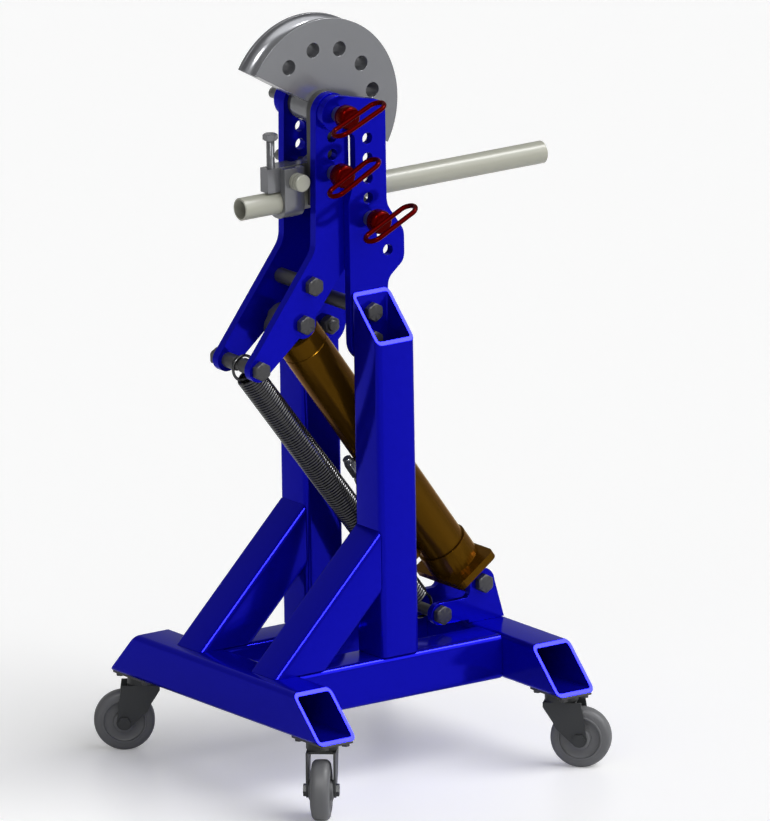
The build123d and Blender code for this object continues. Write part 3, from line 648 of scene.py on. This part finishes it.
class BENDER_OT_bolts(bpy.types.Operator):
    """Hex bolts with chamfered heads, nuts and thread ends"""

    bl_idname = "bender.bolts"
    bl_label = "Hex bolts"

    def execute(self, context):
        sizes = context.scene.bender_sizes
        for node in CROSS_BOLTS:
            low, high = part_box(node)
            place = (low + high) / 2
            bolt = hex_bolt(place, low.y + sizes.head_height, high.y, sizes, BOLT_RADIUS)
            mount(new_piece(f"{node}_finished", *bolt), node)
        low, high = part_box("plate_lower_bolts")
        place = (low + high) / 2
        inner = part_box("near_fixed_plate")[1].y + sizes.nut_height + sizes.thread_end
        near = hex_bolt(place, low.y + sizes.head_height, inner, sizes, BOLT_RADIUS)
        far = hex_bolt(place, high.y - sizes.head_height, -inner, sizes, BOLT_RADIUS)
        mount(new_piece("plate_lower_bolts_finished", *near, *far), "plate_lower_bolts")
        return {"FINISHED"}


def oblong(middle, along, across, half_run, bend, steps=28):
    """Closed path of a loop: two straight runs joined by half circles."""
    turn = np.linspace(-pi / 2, pi / 2, steps)
    right = np.stack((half_run + bend * np.cos(turn), bend * np.sin(turn)), axis=1)
    left = np.stack((-half_run - bend * np.cos(turn), -bend * np.sin(turn)), axis=1)
    flat = np.concatenate((right, left))
    return np.asarray(middle) + flat[:, :1] * along + flat[:, 1:] * across


class BENDER_OT_pull_pins(bpy.types.Operator):
    """Three steel pull pins, each with a red knob and a rod loop"""

    bl_idname = "bender.pull_pins"
    bl_label = "Pull pins"

    def execute(self, context):
        sizes = context.scene.bender_sizes
        for node, tilt in PINS.items():
            low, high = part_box(node)
            place = np.array((low + high) / 2)
            knob_radius = (high.x - low.x) / 2
            self.add_shaft(node, np.array((place[0], low.y, place[2])), high.y - low.y)
            self.add_handle(f"{node}_handle", place, knob_radius, radians(tilt), sizes)
        return {"FINISHED"}

    def add_shaft(self, node, origin, total):
        """Turned pin: a collar, a plain shaft, a shallow groove and a chamfered end."""
        shaft, collar, collar_end = BOLT_RADIUS, 0.013, 0.0239
        collar_run, collar_edge, tip_edge = 0.0014, 0.0015, 0.002
        groove, groove_depth, groove_half = total - 0.005, 0.0008, 0.001
        profile = [
            (0.0, 0.0), (0.0, collar), (collar_end - collar_run, collar), (collar_end, collar - collar_edge),
            (collar_end, shaft), (groove - groove_half, shaft), (groove, shaft - groove_depth),
            (groove + groove_half, shaft), (total - tip_edge, shaft), (total, shaft - tip_edge), (total, 0.0),
        ]
        mount(new_piece(f"{node}_finished", lathe(profile, origin, (0, 1, 0))), node)

    def add_handle(self, node, place, radius, tilt, sizes):
        """Round knob over the pin's head, and a rod loop that leans by the tilt."""
        low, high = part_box(node)
        loop_shift = 0.004
        rod = sizes.loop_rod / 2
        bend = sizes.loop_width / 2 - rod
        half_run = sizes.loop_length / 2 - sizes.loop_width / 2
        along = np.array((cos(tilt), 0.0, sin(tilt)))
        square = (-along[2], 0, along[0])
        middle = np.array((place[0], low.y + sizes.loop_width / 2, place[2])) + loop_shift * along
        path = oblong(middle, along, np.array((0.0, 1.0, 0.0)), half_run, bend)
        loop = sweep(path, square, rod, sides=18, closed=True)
        knob_start, knob_length, fillet, rim = 0.017, 0.022, 0.007, 0.002
        turn = np.linspace(0.0, pi / 2, 9)
        nose = np.stack((fillet - fillet * np.cos(turn), radius - fillet + fillet * np.sin(turn)), axis=1)
        profile = [
            (0.0, 0.0), *nose.tolist(), (knob_length - rim, radius),
            (knob_length - 0.3 * rim, radius - 0.3 * rim), (knob_length, radius - rim), (knob_length, 0.0),
        ]
        origin = np.array((place[0], high.y - knob_start, place[2]))
        mount(new_piece(f"{node}_finished", lathe(profile, origin, (0, 1, 0)), loop), node)


class BENDER_OT_pipe(bpy.types.Operator):
    """Pipe lying straight in the die"""

    bl_idname = "bender.pipe"
    bl_label = "Pipe"

    def execute(self, context):
        wall, edge = 0.003, 0.0006
        low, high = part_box("workpiece_pipe")
        radius = (high.z - low.z) / 2
        height = (low.z + high.z) / 2
        bore = radius - wall
        reach = high.x - low.x
        run = np.linspace(0.0, reach, 240)
        outside = np.stack((run, np.full_like(run, radius)), axis=1)
        outside[0] = (0.0, radius - edge)
        outside[-1] = (reach, radius - edge)
        outside[1:-1, 0] = np.linspace(edge, reach - edge, len(run) - 2)
        inside = np.stack((run[::-1], np.full_like(run, bore)), axis=1)
        grid = lathe(np.concatenate((outside, inside)), (low.x, 0.0, height), (1, 0, 0), steps=56)
        piece = new_piece("workpiece_pipe_finished", (grid[0], True, True))
        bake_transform(piece)
        stand_for(piece, "workpiece_pipe")
        return {"FINISHED"}


class BENDER_OT_rollers(bpy.types.Operator):
    """Follower roller with a round groove, grooved clamp pin and clamp screw"""

    bl_idname = "bender.rollers"
    bl_label = "Follower and clamp fittings"

    def execute(self, context):
        self.add_follower()
        self.add_clamp_pin()
        self.add_clamp_screw()
        return {"FINISHED"}

    def add_follower(self):
        """Roller whose groove is an arc about the pipe's axis."""
        low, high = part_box("follower_roller")
        centre = (low + high) / 2
        pipe_gap = 0.00035
        pipe_low, pipe_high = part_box("workpiece_pipe")
        pipe_radius = (pipe_high.z - pipe_low.z) / 2
        axle_drop = (pipe_low.z + pipe_high.z) / 2 - centre.z
        outer = (high.z - low.z) / 2
        half = (high.y - low.y) / 2
        groove = pipe_radius + pipe_gap
        edge = np.arccos((axle_drop - outer) / groove)
        turn = np.linspace(-edge, edge, 25)
        floor = np.stack((groove * np.sin(turn), axle_drop - groove * np.cos(turn)), axis=1)
        bore, rim = 0.0097, 0.0012
        profile = [
            (-half, bore), (-half, outer - rim), (-half + rim, outer), *floor.tolist(),
            (half - rim, outer), (half, outer - rim), (half, bore),
        ]
        grid = lathe(profile, (centre.x, 0.0, centre.z), (0, 1, 0), steps=80)
        mount(new_piece("follower_roller_finished", (grid[0], True, True)), "follower_roller")

    def add_clamp_pin(self):
        """Turned pin with narrow grooves near its free end."""
        low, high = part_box("clamp_pin")
        radius = (high.z - low.z) / 2
        total = high.y - low.y
        depth, land, cut, slope = 0.0026, 0.0048, 0.0022, 0.0004
        grooves, first, near_edge, far_edge = 3, 0.0034, 0.0015, 0.001
        profile = [(0.0, 0.0), (0.0, radius - near_edge), (near_edge, radius)]
        for index in range(grooves):
            along = first + index * (cut + land)
            profile += [
                (along, radius), (along + slope, radius - depth),
                (along + cut, radius - depth), (along + cut + slope, radius),
            ]
        profile += [(total - far_edge, radius), (total, radius - far_edge), (total, 0.0)]
        origin = ((low.x + high.x) / 2, low.y, (low.z + high.z) / 2)
        mount(new_piece("clamp_pin_finished", lathe(profile, origin, (0, 1, 0))), "clamp_pin")

    def add_clamp_screw(self):
        """Screw with a chamfered six-sided head and a thread down to its tip."""
        low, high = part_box("clamp_screw")
        flats = min(high.y - low.y, high.x - low.x)
        place = ((low.x + high.x) / 2, 0.0, high.z)
        head, seat = 0.0105, 0.001
        shank, pitch, depth = 0.00715, 0.0022, 0.0009
        profile = [
            *((-inwards, radius) for inwards, radius in hex_crown(flats)),
            (-head + seat, flats), (-head + seat, 0.5 * flats), (-head, 0.49 * flats), (-head, 0.0),
        ]
        run = high.z - low.z - head + seat
        screw = thread((place[0], 0.0, low.z), (0, 0, 1), run, shank, pitch, depth)
        piece = new_piece("clamp_screw_finished", hexagon(profile, place, (0, 0, 1), flats), screw)
        mount(piece, "clamp_screw")


class BENDER_OT_jack(bpy.types.Operator):
    """Jack cylinder with its gland ring, the plated ram and its head, and the pump's barrel"""

    bl_idname = "bender.jack"
    bl_label = "Jack"

    def execute(self, context):
        foot = np.array(JOINTS["jack_tilt"]["pos_m"])
        up = unit(JOINTS["ram_slide"]["axis"])
        reach = (middle_of("ram_pivot_bolt") - foot) @ up
        start, radius, bore, foot_edge = 0.081, 0.0405, 0.0252, 0.0012
        end, seat = reach - 0.030, reach - 0.068
        cup, cup_edge = 0.0355, 0.0005
        groove, chamfer = 0.0012, 0.004
        gland = end - 0.035
        bore_floor = seat - 0.2
        profile = [
            (start, 0.0), (start, radius - foot_edge), (start + foot_edge, radius), (gland - groove, radius),
            (gland, radius - groove), (gland + groove, radius), (end - chamfer, radius),
            (end, radius - chamfer), (end, cup + cup_edge), (end - cup_edge, cup), (seat, cup), (seat, bore),
            (bore_floor, bore), (bore_floor, 0.0),
        ]
        mount(new_piece("jack_cylinder_finished", lathe(profile, foot, up, steps=96)), "jack_cylinder")
        ram, low_edge, high_edge = 0.025, 0.001, 0.0006
        low, high = reach - 0.366, reach - 0.064
        rod = [
            (low, 0.0), (low, ram - low_edge), (low + low_edge, ram),
            (high - high_edge, ram), (high, ram - high_edge), (high, 0.0),
        ]
        mount(new_piece("jack_ram_finished", lathe(rod, foot, up, steps=72)), "jack_ram")
        self.add_head(foot + reach * up, up, context.scene.bender_sizes.edge_break * FINE_EDGE)
        self.add_pump(foot, up, radius)
        return {"FINISHED"}

    def add_head(self, eye, up, edge):
        """Ram head that stands in the cylinder's cup.

        All of it is slimmer across than its solid, and its foot is slimmer in the other direction too.
        """
        foot_top, foot_share, across_share = -0.040, 0.55, 0.47
        piece = from_node("ram_head", edge)
        beside = np.array((up[2], 0.0, -up[0]))
        apart = points_of(piece) - eye
        rise = apart @ up
        out = apart @ beside * np.where(rise < foot_top, foot_share, 1.0)
        spots = eye + rise[:, None] * up + out[:, None] * beside
        spots[:, 1] += across_share * apart[:, 1]
        mount(move_points(piece, spots), "ram_head")

    def add_pump(self, foot, up, jack_radius):
        """Turned barrel beside the jack, with a round steel boss and a hexagon nut at its upper end."""
        barrel, start, end, edge = 0.012, 0.100, 0.262, 0.0012
        beside = np.array((up[2], 0.0, -up[0]))
        hand = np.sign((middle_of("pump_barrel") - foot) @ beside)
        origin = foot + hand * (jack_radius + SEAT_GAP + barrel) * beside
        body = [
            (start, 0.0), (start, barrel - edge), (start + edge, barrel), (end - edge, barrel),
            (end, barrel - edge), (end, 0.0),
        ]
        mount(new_piece("pump_barrel_finished", lathe(body, origin, up, steps=48)), "pump_barrel")
        boss_length, boss_swell, neck, flats = 0.030, 0.0042, 0.0078, 0.019
        turn = np.linspace(-1.0, 1.0, 15)
        swell = neck + boss_swell * np.sqrt(1.0 - turn ** 2)
        bulge = np.stack((end + boss_length * (0.5 + 0.5 * turn), swell), axis=1)
        nut_gap, total, tail, chamfer, tip_edge = 0.003, 0.234, 0.008, 0.002, 0.001
        low = end + boss_length + nut_gap
        high = start + total
        nut_end, corner, face = high - tail, 0.58 * flats, 0.46 * flats
        boss = [(end, 0.0), *bulge.tolist(), (low + tip_edge, neck), (low + tip_edge, 0.0)]
        nut = [
            (low, 0.0), (low, face), (low + chamfer, corner), (nut_end - chamfer, corner), (nut_end, face),
            (nut_end, neck), (high - tip_edge, neck), (high, neck - tip_edge), (high, 0.0),
        ]
        surfaces = (lathe(boss, origin, up, steps=40), hexagon(nut, origin, up, flats))
        fitting = new_piece("pump_fitting_finished", *surfaces)
        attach(fitting, NODE_BODY["pump_barrel"])
        fitting.data.materials.append(finish("die_grey"))


class BENDER_OT_spring(bpy.types.Operator):
    """Close-wound return spring that stretches between the bracket and the arms"""

    bl_idname = "bender.spring"
    bl_label = "Return spring"

    def execute(self, context):
        sizes = context.scene.bender_sizes
        wire = sizes.spring_wire / 2
        coil = sizes.spring_outer / 2 - wire
        anchor = np.array(JOINTS["spring_swing"]["pos_m"])
        tail = middle_of("tail_rod")
        up = unit(JOINTS["spring_stretch"]["axis"])
        beside = np.array((up[2], 0.0, -up[0]))
        reach = (tail - anchor) @ up
        hook = coil - wire - BOLT_RADIUS - SEAT_GAP
        clearance, inset = 0.0001, 0.012
        start = hook + sqrt((coil + wire) ** 2 - (coil - wire) ** 2) + clearance + wire
        turns, steps_per_turn = sizes.spring_turns, 26
        turn = np.linspace(0.0, tau * turns, turns * steps_per_turn + 1)
        rise = np.linspace(start, reach - start, len(turn))
        side = np.array((0.0, 1.0, 0.0))
        ring = np.cos(turn)[:, None] * beside + np.sin(turn)[:, None] * side
        helix = anchor + rise[:, None] * up + coil * ring
        piece = new_piece("return_spring_coil", sweep(helix, up, wire, sides=9))
        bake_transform(piece)
        stand_for(piece, "return_spring")
        for node, centre, heading in (
            ("spring_lower_hook", anchor + hook * up, up),
            ("spring_upper_hook", anchor + (reach - hook) * up, -up),
        ):
            self.add_hook(node, centre, heading, beside, side, coil, wire)
        return {"FINISHED"}

    def add_hook(self, node, centre, heading, beside, side, coil, wire):
        """Open hook: most of a circle of wire about its centre, in the plane of the linkage."""
        gap = radians(28.0)
        turn = np.linspace(pi / 2 - gap, -3 * pi / 2 + gap / 3, 64)
        path = centre + coil * (np.cos(turn)[:, None] * beside + np.sin(turn)[:, None] * heading)
        mount(new_piece(f"{node}_finished", sweep(path, side, wire, sides=14)), node)


class BENDER_OT_casters(bpy.types.Operator):
    """Swivel forks and moulded wheels"""

    bl_idname = "bender.casters"
    bl_label = "Casters"

    def execute(self, context):
        edge_share = 0.6
        width = edge_share * context.scene.bender_sizes.edge_break
        for corner in CORNERS:
            mount(from_node(f"{corner}_caster_fork", width), f"{corner}_caster_fork")
            self.add_wheel(corner)
        return {"FINISHED"}

    def add_wheel(self, corner):
        """Turned wheel: one face from the hub out to the tread, and its mirror image."""
        joint = JOINTS[f"{corner}_roll"]
        radius, half, hub, hub_half, bore = 0.0508, 0.016, 0.018, 0.0205, 0.0065
        face = [
            (hub_half, bore), (hub_half, hub - 0.003), (hub_half - 0.0012, hub - 0.0006),
            (half - 0.0035, hub + 0.001), (half - 0.004, hub + 0.004), (half - 0.004, 0.031),
            (half - 0.0028, 0.0335), (half + 0.0006, 0.0345), (half + 0.0006, 0.0365),
            (half - 0.0004, 0.0375), (half - 0.001, 0.0445), (half - 0.0026, 0.0475), (half - 0.0062, 0.0502),
        ]
        flat = 0.005
        crown = [(flat, radius), (-flat, radius)]
        profile = face + crown + [(-along, out) for along, out in reversed(face)]
        grid = lathe(profile, joint["pos_m"], joint["axis"], steps=84)
        piece = new_piece(f"{corner}_caster_wheel_finished", (grid[0], True, True))
        mount(piece, f"{corner}_caster_wheel")


class BENDER_OT_stage(bpy.types.Operator):
    """Pale floor, soft light and the camera at the photograph's angle"""

    bl_idname = "bender.stage"
    bl_label = "Stage"

    def execute(self, context):
        stage = context.scene.bender_stage
        self.add_floor(stage)
        self.add_world(context.scene, stage)
        for name, direction, strength, spread, gloss_only in (
            ("key_light", (0.45, -0.58, 0.68), stage.key, 60.0, False),
            ("side_light", (-0.55, -0.70, 0.45), stage.fill, 60.0, False),
            ("right_glint", (0.55, -0.26, 0.79), stage.glint, 16.0, True),
            ("left_glint", (-0.41, -0.57, 0.71), stage.glint, 16.0, True),
        ):
            lamp = bpy.data.lights.new(name, "SUN")
            lamp.energy = strength
            lamp.angle = radians(spread)
            holder = bpy.data.objects.new(name, lamp)
            holder.rotation_mode = "QUATERNION"
            holder.rotation_quaternion = Vector(direction).to_track_quat("Z", "Y")
            holder.visible_diffuse = not gloss_only
            context.scene.collection.objects.link(holder)
        self.add_camera(context.scene, stage)
        context.scene.view_settings.view_transform = "Standard"
        return {"FINISHED"}

    def add_floor(self, stage):
        """Wide pale floor with a little white of its own that only the camera sees."""
        reach = 14.0
        mesh = bpy.data.meshes.new("studio_floor")
        corners = [(-reach, -reach, 0.0), (reach, -reach, 0.0), (reach, reach, 0.0), (-reach, reach, 0.0)]
        mesh.from_pydata(corners, [], [(0, 1, 2, 3)])
        floor = bpy.data.objects.new("studio_floor", mesh)
        bpy.context.scene.collection.objects.link(floor)
        material, add, link = node_tools("studio_floor")
        shader = add("ShaderNodeBsdfPrincipled", Roughness=0.3)
        shader.inputs["Base Color"].default_value = (*stage.floor, 1.0)
        shader.inputs["Specular IOR Level"].default_value = 0.15
        glow = add("ShaderNodeEmission")
        path = add("ShaderNodeLightPath")
        seen = add("ShaderNodeMath", operation="MULTIPLY")
        seen.inputs[1].default_value = stage.floor_glow
        link(path.outputs["Is Camera Ray"], seen.inputs[0])
        link(seen.outputs["Value"], glow.inputs["Strength"])
        both = add("ShaderNodeAddShader")
        link(shader.outputs["BSDF"], both.inputs[0])
        link(glow.outputs["Emission"], both.inputs[1])
        output = add("ShaderNodeOutputMaterial")
        link(both.outputs["Shader"], output.inputs["Surface"])
        mesh.materials.append(material)

    def add_world(self, scene, stage):
        """Even light, with a white sky for the camera and a part of it for gloss."""
        world = bpy.data.worlds.new("studio")
        scene.world = world
        world.use_nodes = True
        tree = world.node_tree
        tree.nodes.clear()
        path = tree.nodes.new("ShaderNodeLightPath")
        gloss = tree.nodes.new("ShaderNodeMath")
        gloss.operation = "MULTIPLY"
        gloss.inputs[1].default_value = stage.sky_gloss
        tree.links.new(path.outputs["Is Glossy Ray"], gloss.inputs[0])
        bright = tree.nodes.new("ShaderNodeMath")
        bright.operation = "MAXIMUM"
        tree.links.new(path.outputs["Is Camera Ray"], bright.inputs[0])
        tree.links.new(gloss.outputs["Value"], bright.inputs[1])
        strength = tree.nodes.new("ShaderNodeMapRange")
        strength.inputs["To Min"].default_value = stage.ambient
        strength.inputs["To Max"].default_value = 1.0
        tree.links.new(bright.outputs["Value"], strength.inputs["Value"])
        sky = tree.nodes.new("ShaderNodeBackground")
        tree.links.new(strength.outputs["Result"], sky.inputs["Strength"])
        output = tree.nodes.new("ShaderNodeOutputWorld")
        tree.links.new(sky.outputs["Background"], output.inputs["Surface"])

    def add_camera(self, scene, stage):
        """Distant camera along the photograph's directions, scaled to its picture points."""
        right = Vector((0.81801, -0.57499, -0.01594))
        above = Vector((0.16079, 0.20181, 0.96615))
        behind = right.cross(above)
        target = Vector((0.0787, 0.0072, 0.5790))
        camera = bpy.data.cameras.new("camera")
        camera.lens = camera.sensor_width * stage.pixel * stage.distance / PICTURE_HEIGHT
        camera.clip_end = 2 * stage.distance
        holder = bpy.data.objects.new("camera", camera)
        turn = Matrix((right, above, behind)).transposed()
        holder.matrix_world = Matrix.Translation(target + behind * stage.distance) @ turn.to_4x4()
        scene.collection.objects.link(holder)
        scene.camera = holder


PIECES = (
    BENDER_OT_stage,
    BENDER_OT_tube_frame,
    BENDER_OT_plates,
    BENDER_OT_machined,
    BENDER_OT_bolts,
    BENDER_OT_pull_pins,
    BENDER_OT_pipe,
    BENDER_OT_rollers,
    BENDER_OT_jack,
    BENDER_OT_spring,
    BENDER_OT_casters,
)


class BENDER_PT_pieces(bpy.types.Panel):
    """Everything that dresses the bender"""

    bl_idname = "BENDER_PT_pieces"
    bl_label = "Pipe bender"
    bl_space_type = "VIEW_3D"
    bl_region_type = "UI"
    bl_category = "Bender"

    def draw(self, context):
        for piece in PIECES:
            self.layout.operator(piece.bl_idname)
        for group in (context.scene.bender_finishes, context.scene.bender_sizes, context.scene.bender_stage):
            column = self.layout.column()
            for name in group.__annotations__:
                column.prop(group, name)


SETTINGS = {
    "bender_finishes": BenderFinishes,
    "bender_sizes": BenderSizes,
    "bender_stage": BenderStage,
}


def register():
    for name, group in SETTINGS.items():
        bpy.utils.register_class(group)
        setattr(bpy.types.Scene, name, PointerProperty(type=group))
    for piece in (*PIECES, BENDER_PT_pieces):
        bpy.utils.register_class(piece)


def unregister():
    for piece in reversed((*PIECES, BENDER_PT_pieces)):
        bpy.utils.unregister_class(piece)
    for name, group in SETTINGS.items():
        delattr(bpy.types.Scene, name)
        bpy.utils.unregister_class(group)


def main():
    register()
    for piece in PIECES:
        group, name = piece.bl_idname.split(".")
        getattr(getattr(bpy.ops, group), name)()


if __name__ == "__main__":
    main()
